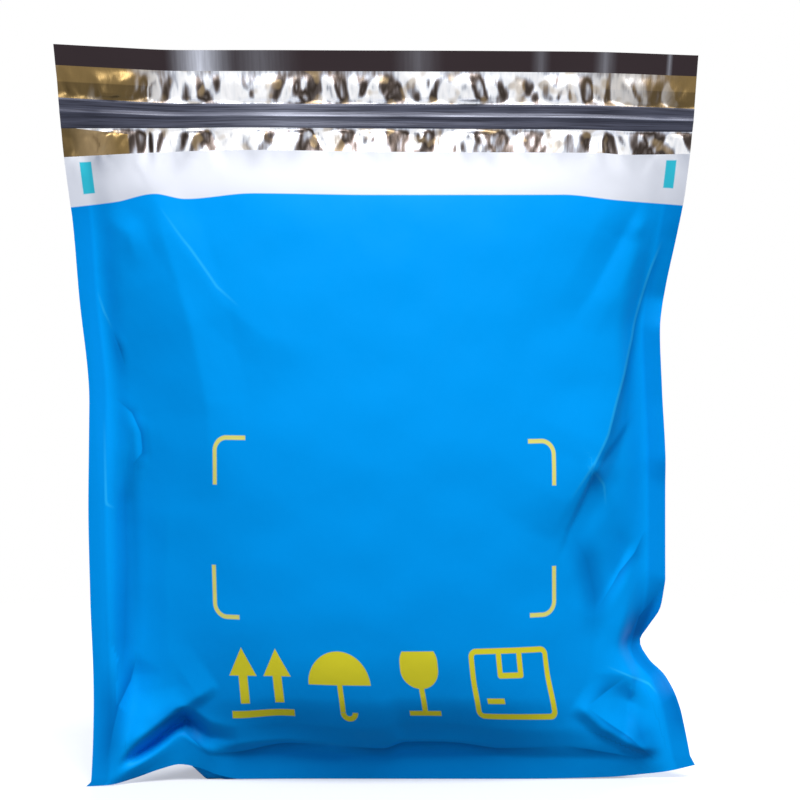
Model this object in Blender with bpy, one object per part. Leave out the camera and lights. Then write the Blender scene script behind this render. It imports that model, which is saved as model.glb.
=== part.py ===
"""A filled poly mailer bag, standing on its base: one welded film pouch, sealed at its sides, foot and head.

Lengths are written in millimetres and turned into metres when the mesh is made. X runs across the bag, -Y is
the front and Z is up, with the origin on the floor under the middle of the bag.

A point of the film is found by two measures: "across", from the left edge (-1) to the right edge (1), and
"level", the height that the point would have on a flat bag. The pouch starts as a flat slab of two films, and
each function below moves it as one cause does: the filling, the floor, the seals, the zip, the puckers and
the creases.
"""
import bmesh
import bpy
import numpy as np

MM = 0.001

# The flat bag
STANDING_HEIGHT = 387.5
HEAD_WIDTH = 340.0
SEAL_THICKNESS = 0.8
SIDE_SEAL = 10.0
FOOT_SEAL = 15.0

# Bands of the film, measured down from the head's edge
HEAD_SEAL = 11.0
TEAR_STRIP = 19.0
ZIP_TOP = 28.0
ZIP_HEIGHT = 14.5
FOIL_END = 56.0
WHITE_END = 79.0

# The filling
FRONT_BULGE = 54.0
BACK_BULGE = 54.0
FILM_GAP = 1.6
BASE_DEPTH = 62.0
ROOT_FORWARD = 25.0
HEM_BACK = 3.0

# The zip
ZIP_LIFT = 1.1
ZIP_RIDGE = 0.9
ZIP_RIDGE_HEIGHT = 2.4

# The puckers of the foil beside the zip
PUCKERS = 44
PUCKER_DEPTH = 2.6
PUCKER_WIDTH = 6.5

# The creases
CREASE_EASE = 1.5

# The mesh
COLUMNS = 44
HEAD_SPLITS = 1
CROWDING = 0.06

BLUE = (0.0, 0.28, 0.78, 1.0)


def curve_through(at, *points):
    """A smooth curve through (where, value) points: cubic pieces that don't overshoot the points."""
    where, value = np.array(points, float).T
    step = np.diff(where)
    slope = np.diff(value) / step
    turning = slope[1:] * slope[:-1] <= 0
    inner = np.where(turning, 0.0, 2 * slope[1:] * slope[:-1] / (slope[1:] + slope[:-1] + turning))
    ends = np.concatenate([slope[:1], inner, slope[-1:]])
    at = np.clip(at, where[0], where[-1])
    i = np.clip(np.searchsorted(where, at) - 1, 0, len(step) - 1)
    t = (at - where[i]) / step[i]
    return (
        value[i] * (1 + 2 * t) * (1 - t) ** 2
        + ends[i] * step[i] * t * (1 - t) ** 2
        + value[i + 1] * t * t * (3 - 2 * t)
        + ends[i + 1] * step[i] * t * t * (t - 1)
    )


def swell(low, high, value):
    """0 at low and below, 1 at high and above, and an even S between them."""
    t = np.clip((value - low) / (high - low), 0.0, 1.0)
    return t * t * (3.0 - 2.0 * t)


def side_edges(level):
    """The left and right edges' places across: drawn in by the filling, and flared at the foot's ears."""
    half = HEAD_WIDTH / 2
    head = STANDING_HEIGHT
    left = curve_through(
        level, (0, 18.5), (12, 21), (47, 22.5), (97, 20.5), (152, 19), (198, 19),
        (257, 13), (302, 9.5), (332, 5.2), (head, 0),
    )
    right = curve_through(
        level, (0, 1), (22, 5), (42, 9.5), (60, 14), (80, 16), (108, 16.5), (162, 16.5),
        (209, 18.5), (236, 19.5), (258, 16.5), (292, 10.5), (332, 4.2), (head, 0),
    )
    return left - half, half - right


def spread(across, level):
    """Places across the bag, even between its edges but for the pinch, which draws the right edge in."""
    left, right = side_edges(level)
    drawn = curve_through(
        level, (38, 0), (46, 1), (54, 3.5), (62, 10.5), (70, 14), (79, 9), (90, 2.5), (104, 0)
    )
    near = np.clip((across - 0.5) / 0.5, 0, 1)
    return left + (right - left) * (across + 1) / 2 - drawn * near ** 1.6


def seal_depth(level, across):
    """How far back (+) or forward (-) the side seals stand: in line at the head, forward at the foot."""
    head = STANDING_HEIGHT
    left = curve_through(
        level, (FOOT_SEAL, -42), (40, -40), (90, -34), (150, -24), (210, -12), (270, -3),
        (head - WHITE_END, 0), (head, 0),
    )
    right = curve_through(
        level, (FOOT_SEAL, -19), (30, -18), (60, -14), (100, -9), (160, -4), (260, 0), (head, 0),
    )
    return left + (right - left) * (across + 1) / 2


def front_profile(level):
    """The middle of the front film, seen from the side: how far forward it stands at each level."""
    bulge = FRONT_BULGE
    head = STANDING_HEIGHT
    return -curve_through(
        level, (FOOT_SEAL, ROOT_FORWARD), (22, 0.58 * bulge), (32, 0.75 * bulge), (48, 0.9 * bulge),
        (72, 0.98 * bulge), (94, bulge), (115, 0.995 * bulge), (165, 0.94 * bulge), (222, 0.775 * bulge),
        (272, 0.575 * bulge),
        (head - WHITE_END, 0.38 * bulge), (head - FOIL_END, 0.14 * bulge),
        (head - ZIP_TOP - ZIP_HEIGHT, 0.05 * bulge), (head - ZIP_TOP, 0.0), (head, 0.0),
    )


def back_profile(level):
    """The middle of the back film: its depth and its height, turning under at the foot as the base."""
    bulge = BACK_BULGE
    head = STANDING_HEIGHT
    heel = BASE_DEPTH - ROOT_FORWARD
    depth = curve_through(
        level, (FOOT_SEAL, -ROOT_FORWARD), (20, 8 - ROOT_FORWARD), (27, 0.3 * heel),
        (36, heel), (46, 0.93 * bulge), (62, 0.99 * bulge), (84, bulge), (115, bulge), (160, 0.96 * bulge),
        (220, 0.8 * bulge), (270, 0.6 * bulge), (head - WHITE_END, 0.4 * bulge),
        (head - FOIL_END, 0.15 * bulge), (head - ZIP_TOP - ZIP_HEIGHT, 0.05 * bulge),
        (head - ZIP_TOP, 0.0), (head, 0.0),
    )
    height = curve_through(
        level, (FOOT_SEAL, FOOT_SEAL), (20, -9), (27, -14), (36, -9), (46, 12), (62, 38), (84, 74),
        (115, 112), (160, 160), (head, head),
    )
    return depth, height


def fullness(x, level, across):
    """How much of the profile shows: none on the side seals, and a round rise from there to the middle."""
    left, right = side_edges(level)
    share = np.where(x < 0, x / (left + SIDE_SEAL), x / (right - SIDE_SEAL))
    seal = 1 - 2 * SIDE_SEAL / (right - left)
    rim = 1 - np.clip(np.abs(across) / seal, 0, 1) ** 30
    return (1 - np.clip(share, 0, 1) ** 2.8) * rim


def band_rise(across, level):
    """How far the bands stand off their flat level: the head sags, and the fin's root lifts and dips."""
    head = STANDING_HEIGHT
    edge = curve_through(across, (-1, 0), (-0.85, -1.4), (-0.6, -3.2), (0, -3.4), (0.6, -4.0), (1, -6))
    white = curve_through(
        across, (-1, -3.5), (-0.7, -1), (-0.4, 0.4), (0, -0.6), (0.7, -1.2), (0.8, -2.2), (1, -1.8),
    )
    foot = curve_through(
        across, (-1, -7), (-0.85, -4), (-0.72, 0.4), (-0.62, -2.2), (-0.4, 0.8), (0, 0), (0.6, 0),
        (0.78, -3), (1, -6)
    )
    root = curve_through(
        across, (-1, -12), (-0.95, -10.5), (-0.84, -4), (-0.76, 4), (-0.71, 9), (-0.67, 5),
        (-0.6, -1), (-0.53, -1), (-0.36, 2), (-0.15, -0.5), (-0.03, -1), (0.05, 2.5), (0.2, 2),
        (0.36, -1), (0.55, -2.5), (0.8, -3.5), (0.9, -3.5), (1, -3),
    )
    return blend_levels(level, [
        (FOOT_SEAL, root), (75, 0 * root), (250, 0 * root), (head - WHITE_END, foot),
        (head - FOIL_END, white), (head - ZIP_TOP, edge), (head, edge),
    ])


def blend_levels(level, lines):
    """A value at every level from lines across the bag, each known at its own level."""
    value = lines[0][1]
    for (start, below), (end, above) in zip(lines, lines[1:]):
        value = np.where(level >= start, below + (above - below) * swell(start, end, level), value)
    return value


def foot_fin(across, level, root_height):
    """The fin's height, from its hem up to its root: a fold on the left and the right ear lift the hem."""
    hem = curve_through(
        across, (-1, 0), (-0.92, 0.6), (-0.85, 2.6), (-0.76, 7), (-0.7, 9), (-0.64, 7), (-0.57, 2.6),
        (-0.5, 0.4), (0.4, 0.2), (0.7, 0.8), (0.84, 2.4), (0.92, 4.2), (1, 7),
    )
    share = np.clip(level / FOOT_SEAL, 0, 1)
    return hem + (root_height - hem) * share


def zip_relief(level):
    """The press-to-close zip, welded between the films: a raised band with a ridge along its middle."""
    middle = STANDING_HEIGHT - ZIP_TOP - ZIP_HEIGHT / 2
    away = np.abs(level - middle)
    band = ZIP_LIFT * swell(ZIP_HEIGHT / 2 + 0.8, ZIP_HEIGHT / 2 - 0.8, away)
    ridge = ZIP_RIDGE * swell(ZIP_RIDGE_HEIGHT, 0.0, away)
    return band + ridge


def puckers(x, level):
    """The foil's upright puckers: uneven tents that fan out from the zip and fade away from it."""
    rng = np.random.default_rng(11)
    half = HEAD_WIDTH / 2 - SIDE_SEAL
    places = np.linspace(-half, half, PUCKERS) + rng.uniform(-2.5, 2.5, PUCKERS)
    heights = PUCKER_DEPTH * rng.uniform(-1.0, 1.0, PUCKERS)
    leans = rng.uniform(-0.5, 0.5, PUCKERS)
    widths = PUCKER_WIDTH * rng.uniform(0.7, 1.4, PUCKERS)
    zip_top = STANDING_HEIGHT - ZIP_TOP
    zip_foot = zip_top - ZIP_HEIGHT
    middle = (zip_top + zip_foot) / 2
    away = np.where(level > middle, level - zip_top, zip_foot - level)
    sideways = places + leans * away[:, None] * np.where(level > middle, 1, -1)[:, None]
    tents = np.clip(1 - np.abs(x[:, None] - sideways) / widths, 0, 1) @ heights
    upper = swell(0, 3, away) * swell(ZIP_TOP - HEAD_SEAL, ZIP_TOP - TEAR_STRIP, away)
    lower = swell(0, 4, away) * swell(FOIL_END - ZIP_TOP - ZIP_HEIGHT + 12, 6, away)
    return tents * np.where(level > middle, upper, lower)


def head_waves(x, level):
    """The slack head's soft upright waves, which the foot of the white band no longer has."""
    wave = 1.6 * np.sin(x / 27.0 + 0.6) + 1.0 * np.sin(x / 14.5 + 2.0)
    return wave * swell(STANDING_HEIGHT - WHITE_END, STANDING_HEIGHT - ZIP_TOP, level)


def crease(x, z, route, height, reach, soft=1.5):
    """A crease pressed into film: a crest along a route of (x, z) points, with a slope down on each side.

    height is the crest's rise at each point of the route, and reach is the slope's width on its two sides,
    the one on the left of the way along the route first.
    """
    route = np.array(route, float)
    height = np.broadcast_to(height, len(route)).astype(float)
    nearest = np.full(x.shape, np.inf)
    side = np.zeros(x.shape)
    rise = np.zeros(x.shape)
    for (x0, z0), (x1, z1), h0, h1 in zip(route, route[1:], height, height[1:]):
        length = np.hypot(x1 - x0, z1 - z0)
        ux, uz = (x1 - x0) / length, (z1 - z0) / length
        along = np.clip(((x - x0) * ux + (z - z0) * uz) / length, 0, 1)
        dx, dz = x - x0 - along * length * ux, z - z0 - along * length * uz
        away = np.hypot(dx, dz)
        closer = away < nearest
        nearest = np.where(closer, away, nearest)
        side = np.where(closer, ux * dz - uz * dx, side)
        rise = np.where(closer, h0 + (h1 - h0) * along, rise)
    width = np.where(side > 0, reach[0], reach[1])
    slope = np.clip(1 - (np.sqrt(nearest ** 2 + soft ** 2) - soft) / width, 0, 1)
    return rise * slope ** CREASE_EASE


def front_creases(x, z):
    """The front's creases: rolls from the head's corners, and folds beside the seals and at the foot."""
    left_roll = crease(
        x, z, [(-118, 310), (-104, 286), (-80, 254), (-60, 236), (-22, 226)],
        [1, 1.4, 1.4, 1, 0], (30, 14),
    )
    left_facet = crease(
        x, z, [(-118, 308), (-112, 288), (-105, 267), (-97, 242), (-88, 200), (-84, 150)],
        [0, 3, 4, 4, 3, 0], (12, 36),
    )
    seal_crease = crease(
        x, z, [(-137, 201), (-127, 188), (-125, 170), (-131, 148)], [0, 3.5, 4.5, 0], (6, 18),
    )
    left_valley = crease(
        x, z, [(-127, 186), (-132, 161), (-135, 136), (-136, 104), (-134, 58), (-135, 36)],
        [0, -3, -6, -6, -5, -2], (26, 5),
    )
    foot_pleat = crease(
        x, z, [(-124, 66), (-130, 52), (-134, 38), (-138, 22), (-142, 8)],
        [0, -3.5, -4.5, -4.5, -2], (14, 5),
    )
    foot_ridge = crease(
        x, z, [(-83, 54), (-93, 47), (-114, 31), (-132, 17), (-147, 6)], [0, 3, 5.5, 5, 3], (5, 34),
    )
    foot_hollow = crease(
        x, z, [(-72, 22), (-90, 25), (-101, 33), (-116, 21), (-136, 9)], [0, -5, -10, -10, -4], (9, 8),
    )
    right_roll = crease(
        x, z, [(157, 305), (150, 278), (139, 247), (135, 228), (130, 212), (125, 193), (115, 166)],
        [0, 3, 5, 5.5, 6, 6, 4], (9, 54),
    )
    fork = crease(x, z, [(115, 166), (101, 149), (90, 130)], [4, 2.5, 0], (14, 44))
    right_dent = crease(x, z, [(145, 134), (134, 122), (126, 109), (112, 88)], [-1, -4, -3.5, 0], (7, 22))
    upper_valley = crease(x, z, [(141, 308), (129, 285), (115, 260), (100, 238)], [0, -3, -2, 0], (12, 14))
    pinch = crease(
        x, z, [(152, 104), (146, 89), (139, 76), (136, 66), (136, 56)], [0, 1.5, 4, 4, 2], (4, 22),
    )
    ear_top = crease(x, z, [(112, 58), (134, 56), (148, 48)], [0, 2.5, 3], (9, 12))
    ear_side = crease(x, z, [(148, 48), (149, 28), (152, 13)], [3, 3, 1], (10, 8))
    ear_edge = crease(
        x, z, [(104, 42), (110, 38), (120, 29), (131, 22), (142, 16), (151, 11)],
        [0, 3, 4, 4.5, 4, 1], (18, 6),
    )
    return (
        left_roll + left_facet + seal_crease + left_valley + foot_pleat + foot_ridge + foot_hollow
        + right_roll + fork + right_dent + upper_valley + pinch + ear_top + ear_side + ear_edge
    )


def edge_folds(x, z):
    """How the side seals bend: the left one turns back, and the right one curls back at two waists."""
    left_turn = crease(
        x, z, [(-166, 320), (-163, 240), (-157, 150), (-155, 60), (-153, 30)],
        [0, -4, -5, -4, 0], (12, 12),
    )
    right_curl = crease(x, z, [(172, 321), (160, 283), (153, 253), (152, 238)], [0, -5, -6, 0], (16, 16))
    right_wave = crease(x, z, [(156, 198), (156, 170)], [0, 3], (12, 16))
    pinch_curl = crease(
        x, z, [(154, 104), (146, 87), (141, 72), (150, 58), (160, 46)], [0, -6, -12, -8, 0], (12, 14),
    )
    return left_turn + right_curl + right_wave + pinch_curl


def back_creases(x, z):
    """The back's creases: two rolls from the head, a dent by each side seal, and the folds of the heel."""
    return (
        crease(x, z, [(128, 302.5), (104, 264.5), (66, 238.5)], [0, 4, 0], (26, 26))
        + crease(x, z, [(-132, 292.5), (-116, 242.5), (-108, 192.5)], [0, 4, 0], (24, 18))
        + crease(x, z, [(133, 172.5), (129, 122.5), (130, 72.5)], [0, -6, 0], (18, 11))
        + crease(x, z, [(-133, 152.5), (-129, 107.5), (-131, 62.5)], [0, -6, 0], (11, 18))
        + crease(x, z, [(-96, 54.5), (-70, 42.5), (-40, 54.5)], [0, 3, 0], (12, 10))
        + crease(x, z, [(60, 58.5), (88, 44.5), (112, 52.5)], [0, 3, 0], (12, 10))
    )


def level_stations():
    """The levels of the mesh's rows, from hem to head: close together where the form is fine."""
    head = STANDING_HEIGHT
    zip_top = head - ZIP_TOP
    zip_foot = zip_top - ZIP_HEIGHT
    spans = [
        (0, FOOT_SEAL, 2), (FOOT_SEAL, 46, 6), (46, 94, 7), (94, head - WHITE_END, 19),
        (head - WHITE_END, head - FOIL_END, 3), (head - FOIL_END, zip_foot, 4), (zip_foot, zip_top, 4),
        (zip_top, head - TEAR_STRIP, 3), (head - TEAR_STRIP, head - HEAD_SEAL, 1),
        (head - HEAD_SEAL, head, 1),
    ]
    rows = [np.linspace(low, high, steps, endpoint=False) for low, high, steps in spans]
    return np.append(np.concatenate(rows), head)


def film_slab(rows):
    """Two flat films joined round their edges, a row for each level, with more columns in foil and head."""
    slab = bmesh.new()
    bmesh.ops.create_grid(slab, x_segments=COLUMNS, y_segments=len(rows) - 1, size=0.5)
    first_foil_row = np.searchsorted(rows, STANDING_HEIGHT - FOIL_END - 4)
    foil_foot = first_foil_row / (len(rows) - 1) - 0.5 - 1e-4
    crossing = [
        edge for edge in slab.edges
        if abs(edge.verts[0].co.y - edge.verts[1].co.y) < 1e-6 and edge.verts[0].co.y > foil_foot
    ]
    bmesh.ops.subdivide_edges(slab, edges=crossing, cuts=HEAD_SPLITS)
    wall = bmesh.ops.extrude_face_region(slab, geom=slab.faces[:], use_keep_orig=True)
    for part in wall["geom"]:
        if isinstance(part, bmesh.types.BMVert):
            part.co.z = 1.0
    bmesh.ops.recalc_face_normals(slab, faces=slab.faces)
    return slab


def films_at(across, level):
    """The front film's and the back film's points for each place on the flat bag, in millimetres."""
    above = np.maximum(level, FOOT_SEAL)
    x = spread(across, level)
    root_height = FOOT_SEAL + band_rise(across, np.full_like(level, FOOT_SEAL))
    fin_z = foot_fin(across, level, root_height)
    flat_z = np.where(level > FOOT_SEAL, level + band_rise(across, above), fin_z)
    full = fullness(x, level, across)
    hug = 1 + 1.2 * swell(FOOT_SEAL, 50, level)
    relief = zip_relief(level) + FILM_GAP / 2 * swell(0, 0.2, full) * swell(FOOT_SEAL, FOOT_SEAL + 8, level)
    relief *= swell(STANDING_HEIGHT - HEAD_SEAL, STANDING_HEIGHT - TEAR_STRIP, level)
    relief += SEAL_THICKNESS / 2
    both = seal_depth(above, across) * (1 - full) ** hug - edge_folds(x, flat_z)
    both += HEM_BACK * np.clip(1 - level / FOOT_SEAL, 0, 1) * swell(0, 0.3, full)
    both += puckers(x, level) + head_waves(x, level)
    stretched = swell(0, 0.25, full) * swell(FOOT_SEAL - 1, FOOT_SEAL + 6, level)

    front_y = both - relief + full * front_profile(above) - front_creases(x, flat_z) * stretched
    back_depth, back_height = back_profile(above)
    back_z = np.where(level > FOOT_SEAL, flat_z + full * (back_height - level), flat_z)
    back_y = both + relief + full * back_depth + back_creases(x, back_z) * swell(46, 70, level) * stretched
    front = np.column_stack([x, front_y, np.maximum(flat_z, 0)])
    back = np.column_stack([x, back_y, np.maximum(back_z, 0)])
    return front, back


def mailer_bag():
    """The pouch: the flat slab with each corner put where the filled film has it, centred on the origin."""
    rows = level_stations()
    slab = film_slab(rows)
    flat = np.array([vert.co[:] for vert in slab.verts])
    inner = 1 - 2 * SIDE_SEAL / HEAD_WIDTH
    share = np.interp(flat[:, 0] + 0.5, [0, 1 / COLUMNS, 1 - 1 / COLUMNS, 1], [-1, -inner, inner, 1])
    across = share + CROWDING * np.sin(np.pi * share / inner) * (np.abs(share) < inner)
    level = np.interp((flat[:, 1] + 0.5) * (len(rows) - 1), np.arange(len(rows)), rows)
    front, back = films_at(across, level)
    points = np.where(flat[:, 2:] < 0.5, front, back)
    points[:, :2] -= (points[:, :2].min(axis=0) + points[:, :2].max(axis=0)) / 2
    for vert, point in zip(slab.verts, points):
        vert.co = point * MM
    bmesh.ops.recalc_face_normals(slab, faces=slab.faces)
    mesh = bpy.data.meshes.new("mailer_bag")
    slab.to_mesh(mesh)
    slab.free()
    return bpy.data.objects.new("mailer_bag", mesh)


def film_material():
    """Blue printed polyethylene film with a soft shine."""
    material = bpy.data.materials.new("blue_film")
    material.use_nodes = True
    shader = material.node_tree.nodes["Principled BSDF"]
    shader.inputs["Base Color"].default_value = BLUE
    shader.inputs["Roughness"].default_value = 0.38
    shader.inputs["Metallic"].default_value = 0.0
    return material


for thing in list(bpy.data.objects):
    bpy.data.objects.remove(thing)

collection = bpy.data.collections.new("poly_mailer_bag")
bpy.context.scene.collection.children.link(collection)
bag = mailer_bag()
bag.data.materials.append(film_material())
bag.data.shade_smooth()
bag.data.set_sharp_from_angle(angle=np.radians(50))
collection.objects.link(bag)
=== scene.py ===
import bpy
import numpy as np
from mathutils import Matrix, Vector


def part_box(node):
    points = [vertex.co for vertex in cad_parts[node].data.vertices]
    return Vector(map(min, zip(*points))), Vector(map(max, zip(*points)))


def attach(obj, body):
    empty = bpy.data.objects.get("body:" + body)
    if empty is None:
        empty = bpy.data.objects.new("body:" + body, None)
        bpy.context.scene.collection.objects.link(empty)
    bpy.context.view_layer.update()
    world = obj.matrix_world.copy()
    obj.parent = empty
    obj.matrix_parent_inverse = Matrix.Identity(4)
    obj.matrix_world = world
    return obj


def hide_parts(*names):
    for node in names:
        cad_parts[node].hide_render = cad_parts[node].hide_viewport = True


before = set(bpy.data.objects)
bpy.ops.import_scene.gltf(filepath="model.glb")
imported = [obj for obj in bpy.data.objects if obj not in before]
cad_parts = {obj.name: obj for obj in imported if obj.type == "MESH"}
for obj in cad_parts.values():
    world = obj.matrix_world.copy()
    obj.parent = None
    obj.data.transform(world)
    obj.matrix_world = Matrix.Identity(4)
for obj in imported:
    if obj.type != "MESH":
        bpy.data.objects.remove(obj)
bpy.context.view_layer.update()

# The filled pouch: two films of coextruded polyethylene, welded together along both sides, at the foot
# and at the head, round soft contents. The back film turns under to make the base, and the foot's weld
# hangs in front of it as a fin. The foil band is drawn into puckers by the zip that is welded across it.
MM = 0.001
low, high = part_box("mailer_bag")
STANDING_HEIGHT = (high[2] - low[2]) / MM
HEAD_WIDTH = (high[0] - low[0]) / MM
SIDE_SEAL = 10.0
SEAL_THICKNESS = 0.8

# Bands, measured up from the foot for its seal and down from the head for the others.
FOOT_SEAL = 15.0
HEAD_SEAL = 11.0
TEAR_STRIP = 19.0
ZIP_TOP = 28.0
ZIP_HEIGHT = 14.5
FOIL_END = 56.0
WHITE_END = 79.0

# The filling, and the zip and the puckers that stand off the films.
FRONT_BULGE = 54.0
BACK_BULGE = 54.0
FILM_GAP = 1.6
BASE_DEPTH = 62.0
ROOT_FORWARD = 25.0
HEM_BACK = 3.0
ZIP_LIFT = 1.1
ZIP_RIDGE = 0.9
ZIP_RIDGE_HEIGHT = 2.4
WIDE_PUCKERS = {"seed": 11, "count": 44, "depth": 2.6, "width": 6.5, "lean": 0.5}
FINE_PUCKERS = {"seed": 23, "count": 90, "depth": 0.9, "width": 2.6, "lean": 0.9}

# The films are followed by "across", from -1 to 1 between their edges, and by "level", the height in
# millimetres that a place has on the empty flat bag. Folds are placed by millimetres across and up.


def curve_through(at, *points):
    """A smooth curve through (where, value) points.

    It is made of cubic pieces. The slope at a point is the harmonic mean of the slopes on its two sides,
    or 0 where the curve turns round.
    """
    where, value = np.array(points, float).T
    step = np.diff(where)
    slope = np.diff(value) / step
    turning = slope[1:] * slope[:-1] <= 0
    inner = np.where(turning, 0.0, 2 * slope[1:] * slope[:-1] / (slope[1:] + slope[:-1] + turning))
    ends = np.concatenate([slope[:1], inner, slope[-1:]])
    at = np.clip(at, where[0], where[-1])
    i = np.clip(np.searchsorted(where, at) - 1, 0, len(step) - 1)
    t = (at - where[i]) / step[i]
    return (
        value[i] * (1 + 2 * t) * (1 - t) ** 2
        + ends[i] * step[i] * t * (1 - t) ** 2
        + value[i + 1] * t * t * (3 - 2 * t)
        + ends[i + 1] * step[i] * t * t * (t - 1)
    )


def swell(start, end, value):
    """0 at start, 1 at end and t squared times (3 - 2t) between them, for the share t of the way."""
    t = np.clip((value - start) / (end - start), 0.0, 1.0)
    return t * t * (3.0 - 2.0 * t)


def side_edges(level):
    """The left and right edges' places across: curves of how far in from the head's corners they lie."""
    half = HEAD_WIDTH / 2
    head = STANDING_HEIGHT
    left = curve_through(
        level, (0, 18.5), (12, 21), (47, 22.5), (97, 20.5), (152, 19), (198, 19), (257, 13), (302, 9.5),
        (332, 5.2), (head, 0),
    )
    right = curve_through(
        level, (0, 1), (22, 5), (42, 9.5), (60, 14), (80, 16), (108, 16.5), (162, 16.5), (209, 18.5),
        (236, 19.5), (258, 16.5), (292, 10.5), (332, 4.2), (head, 0),
    )
    return left - half, half - right


def spread(across, level):
    """Places across the bag: even steps between the side edges, less what the pinch at the foot draws in.

    The pinch is a curve up the bag, times the 1.6th power of the way from half-way to the right edge.
    """
    left, right = side_edges(level)
    drawn = curve_through(
        level, (38, 0), (46, 1), (54, 3.5), (62, 10.5), (70, 14), (79, 9), (90, 2.5), (104, 0)
    )
    near = np.clip((across - 0.5) / 0.5, 0, 1)
    return left + (right - left) * (across + 1) / 2 - drawn * near ** 1.6


def seal_depth(level, across):
    """How far forward the side seals stand: even steps from the left one's curve to the right one's."""
    head = STANDING_HEIGHT
    left = curve_through(
        level, (FOOT_SEAL, -42), (40, -40), (90, -34), (150, -24), (210, -12), (270, -3),
        (head - WHITE_END, 0), (head, 0),
    )
    right = curve_through(
        level, (FOOT_SEAL, -19), (30, -18), (60, -14), (100, -9), (160, -4), (260, 0), (head, 0)
    )
    return left + (right - left) * (across + 1) / 2


def front_profile(level):
    """The front film's middle seen from the side, as a curve through shares of the bulge."""
    bulge = FRONT_BULGE
    head = STANDING_HEIGHT
    return -curve_through(
        level, (FOOT_SEAL, ROOT_FORWARD), (22, 0.58 * bulge), (32, 0.75 * bulge), (48, 0.9 * bulge),
        (72, 0.98 * bulge), (94, bulge), (115, 0.995 * bulge), (165, 0.94 * bulge), (222, 0.775 * bulge),
        (272, 0.575 * bulge), (head - WHITE_END, 0.38 * bulge), (head - FOIL_END, 0.14 * bulge),
        (head - ZIP_TOP - ZIP_HEIGHT, 0.05 * bulge), (head - ZIP_TOP, 0.0), (head, 0.0),
    )


def back_profile(level):
    """The back film's middle seen from the side: curves through its depth and its height.

    Below level 36 it turns under, and runs forward as the base to the foot's root.
    """
    bulge = BACK_BULGE
    head = STANDING_HEIGHT
    heel = BASE_DEPTH - ROOT_FORWARD
    depth = curve_through(
        level, (FOOT_SEAL, -ROOT_FORWARD), (20, 8 - ROOT_FORWARD), (27, 0.3 * heel),
        (36, heel), (46, 0.93 * bulge), (62, 0.99 * bulge), (84, bulge), (115, bulge),
        (160, 0.96 * bulge), (220, 0.8 * bulge), (270, 0.6 * bulge), (head - WHITE_END, 0.4 * bulge),
        (head - FOIL_END, 0.15 * bulge), (head - ZIP_TOP - ZIP_HEIGHT, 0.05 * bulge),
        (head - ZIP_TOP, 0.0), (head, 0.0),
    )
    height = curve_through(
        level, (FOOT_SEAL, FOOT_SEAL), (20, -9), (27, -14), (36, -9), (46, 12), (62, 38), (84, 74),
        (115, 112), (160, 160), (head, head),
    )
    return depth, height


def fullness(x, level, across):
    """How full the bag is: 1 less the 2.8th power of the share of the way from its middle to the seal.

    It is brought to 0 on the seals themselves by 1 less the 30th power of the same share across.
    """
    left, right = side_edges(level)
    share = np.where(x < 0, x / (left + SIDE_SEAL), x / (right - SIDE_SEAL))
    seal = 1 - 2 * SIDE_SEAL / (right - left)
    rim = 1 - np.clip(np.abs(across) / seal, 0, 1) ** 30
    return (1 - np.clip(share, 0, 1) ** 2.8) * rim


def band_rise(across, level):
    """How far the bands' edges rise off their flat level: curves across, blended between their levels."""
    head = STANDING_HEIGHT
    edge = curve_through(across, (-1, 0), (-0.85, -1.4), (-0.6, -3.2), (0, -3.4), (0.6, -4.0), (1, -6))
    foil_foot = curve_through(
        across, (-1, -3.5), (-0.7, -1), (-0.4, 0.4), (0, -0.6), (0.7, -1.2), (0.8, -2.2), (1, -1.8)
    )
    white_foot = curve_through(
        across, (-1, -7), (-0.85, -4), (-0.72, 0.4), (-0.62, -2.2), (-0.4, 0.8), (0, 0), (0.6, 0),
        (0.78, -3), (1, -6),
    )
    root = curve_through(
        across, (-1, -12), (-0.95, -10.5), (-0.84, -4), (-0.76, 4), (-0.71, 9), (-0.67, 5), (-0.6, -1),
        (-0.53, -1), (-0.36, 2), (-0.15, -0.5), (-0.03, -1), (0.05, 2.5), (0.2, 2), (0.36, -1),
        (0.55, -2.5), (0.8, -3.5), (0.9, -3.5), (1, -3),
    )
    return blend_levels(level, [
        (FOOT_SEAL, root), (75, 0 * root), (250, 0 * root), (head - WHITE_END, white_foot),
        (head - FOIL_END, foil_foot), (head - ZIP_TOP, edge), (head, edge),
    ])


def blend_levels(level, lines):
    """Curves across the bag, each at its level, blended by the swell of the way between two levels."""
    value = lines[0][1]
    for (start, below), (end, above) in zip(lines, lines[1:]):
        value = np.where(level >= start, below + (above - below) * swell(start, end, level), value)
    return value


def foot_fin(across, level, root_height):
    """The fin's height over the floor: even steps from its hem, whose rise is a curve, up to its root."""
    hem = curve_through(
        across, (-1, 0), (-0.92, 0.6), (-0.85, 2.6), (-0.76, 7), (-0.7, 9), (-0.64, 7), (-0.57, 2.6),
        (-0.5, 0.4), (0.4, 0.2), (0.7, 0.8), (0.84, 2.4), (0.92, 4.2), (1, 7),
    )
    share = np.clip(level / FOOT_SEAL, 0, 1)
    return hem + (root_height - hem) * share


def zip_relief(level):
    """How far the zip stands out: a band whose edges swell over 1.6 mm, and a ridge on its middle."""
    middle = STANDING_HEIGHT - ZIP_TOP - ZIP_HEIGHT / 2
    away = np.abs(level - middle)
    band = ZIP_LIFT * swell(ZIP_HEIGHT / 2 + 0.8, ZIP_HEIGHT / 2 - 0.8, away)
    ridge = ZIP_RIDGE * swell(ZIP_RIDGE_HEIGHT, 0.0, away)
    return band + ridge


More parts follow.
